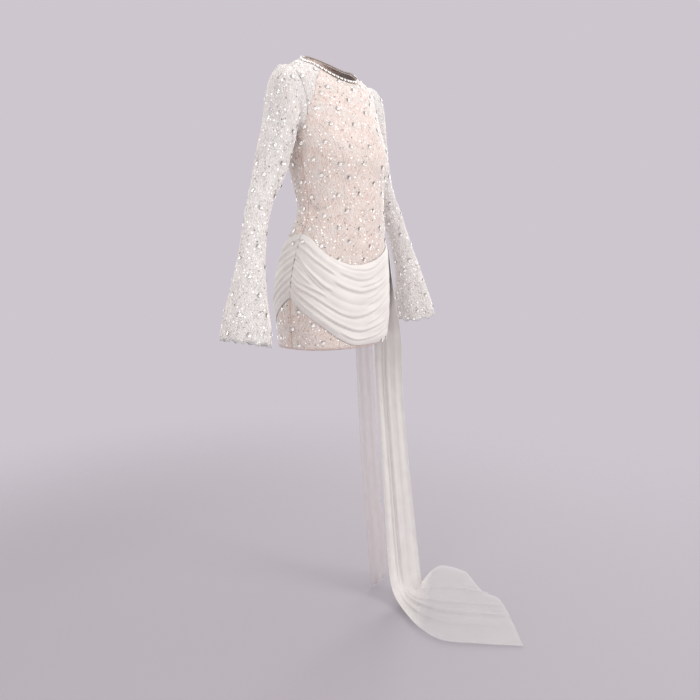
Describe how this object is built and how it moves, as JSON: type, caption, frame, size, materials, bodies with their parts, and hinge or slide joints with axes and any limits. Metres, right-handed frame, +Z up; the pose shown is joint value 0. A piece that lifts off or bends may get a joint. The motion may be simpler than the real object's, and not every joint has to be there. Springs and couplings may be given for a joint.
{
  "type": "evening dress",
  "caption": "Short long-sleeved lace evening dress with bell cuffs, a draped chiffon hip swag and a chiffon train that falls to the floor.",
  "frame": {"origin": "middle of the shoulder line, level with the shoulder seams, where the wearer's shoulders carry the dress", "axes": "+Z up, +X to the wearer's left, -Y to the wearer's front"},
  "size_m": [0.9483, 0.6111, 1.5961],
  "materials": {
    "lined_lace": "ivory corded lace with sequins over a blush lining",
    "sheer_lace": "unlined ivory corded lace with sequins",
    "chiffon": "off-white silk chiffon",
    "crystal_trim": "narrow band with one row of clear cut stones",
    "zip_tape": "blush zip tape, matt"
  },
  "bodies": {
    "root": {"front_centre": "lined_lace", "front_side_left": "lined_lace", "front_side_right": "lined_lace", "back_left": "lined_lace", "back_right": "lined_lace", "back_zip": "zip_tape", "yoke_left": "sheer_lace", "yoke_right": "sheer_lace", "sleeve_left": "sheer_lace", "sleeve_right": "sheer_lace", "neck_trim": "crystal_trim", "swag_front": "chiffon", "swag_back": "chiffon", "train_front": "chiffon", "train_back": "chiffon"}
  },
  "joints": []
}
